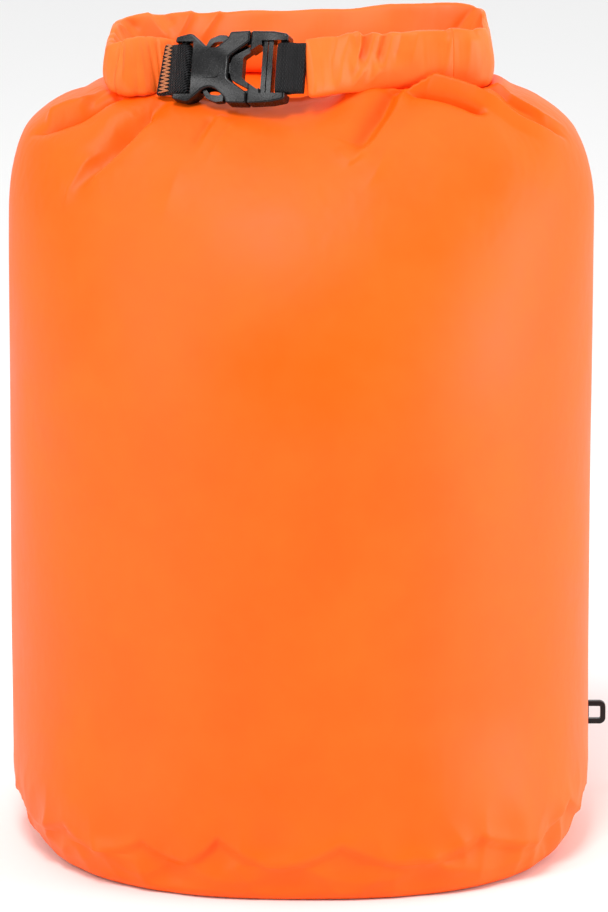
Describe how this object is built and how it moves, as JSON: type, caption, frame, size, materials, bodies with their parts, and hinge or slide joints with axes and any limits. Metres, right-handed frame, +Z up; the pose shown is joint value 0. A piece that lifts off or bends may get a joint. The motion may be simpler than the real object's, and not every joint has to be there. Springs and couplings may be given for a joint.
{
  "type": "dry bag",
  "caption": "Cylindrical roll-top dry bag of coated fabric with a flat round base, its rolled mouth clipped into a carry loop by a side-release buckle, and a small lash ring low on one side.",
  "frame": {"origin": "centre of the base's underside", "axes": "+Z up along the bag's axis, -Y the front with the buckle, +X the side with the lash ring"},
  "size_m": [0.2276, 0.22, 0.3129],
  "materials": {
    "coated_fabric": "smooth coated nylon with a soft sheen",
    "seam_tape": "heat-bonded translucent tape",
    "webbing": "woven nylon webbing",
    "thread": "sewing thread",
    "buckle_plastic": "fine grained acetal",
    "lash_plastic": "smooth acetal",
    "stiffener": "plain strip"
  },
  "bodies": {
    "bag": {"side_wall": "coated_fabric", "base_panel": "coated_fabric", "base_seam_tape": "seam_tape", "side_seam_tape": "seam_tape", "roll_cover": "coated_fabric", "roll_core": "coated_fabric", "stiffener_strip": "stiffener", "left_webbing": "webbing", "webbing_stitches": "thread", "buckle_female": "buckle_plastic", "lash_patch": "webbing", "lash_tape": "webbing", "lash_stitches": "thread"},
    "plug": {"buckle_male": "buckle_plastic", "right_webbing": "webbing"},
    "upper_arm": {"buckle_upper_arm": "buckle_plastic"},
    "lower_arm": {"buckle_lower_arm": "buckle_plastic"},
    "lash": {"lash_ring": "lash_plastic"}
  },
  "joints": [
    {"name": "buckle_release", "type": "slide", "parent": "bag", "child": "plug", "axis": [0.9481, -0.3098, 0.0711], "range_m": [0, 0.026], "deforming": ["buckle_upper_arm", "buckle_lower_arm"]},
    {"name": "upper_arm_press", "type": "hinge", "parent": "plug", "child": "upper_arm", "pos_m": [-0.01638, -0.03145, 0.30774], "axis": [-0.31, -0.8517, 0.4226], "range_deg": [0, 9], "stiffness_Nm_per_rad": 0.1},
    {"name": "lower_arm_press", "type": "hinge", "parent": "plug", "child": "lower_arm", "pos_m": [-0.01776, -0.03973, 0.29005], "axis": [0.31, 0.8517, -0.4226], "range_deg": [0, 9], "stiffness_Nm_per_rad": 0.1},
    {"name": "lash_ring_swing", "type": "hinge", "parent": "bag", "child": "lash", "pos_m": [0.10975, 0.02333, 0.0365], "axis": [0, 0, 1], "range_deg": [-55, 75]}
  ]
}
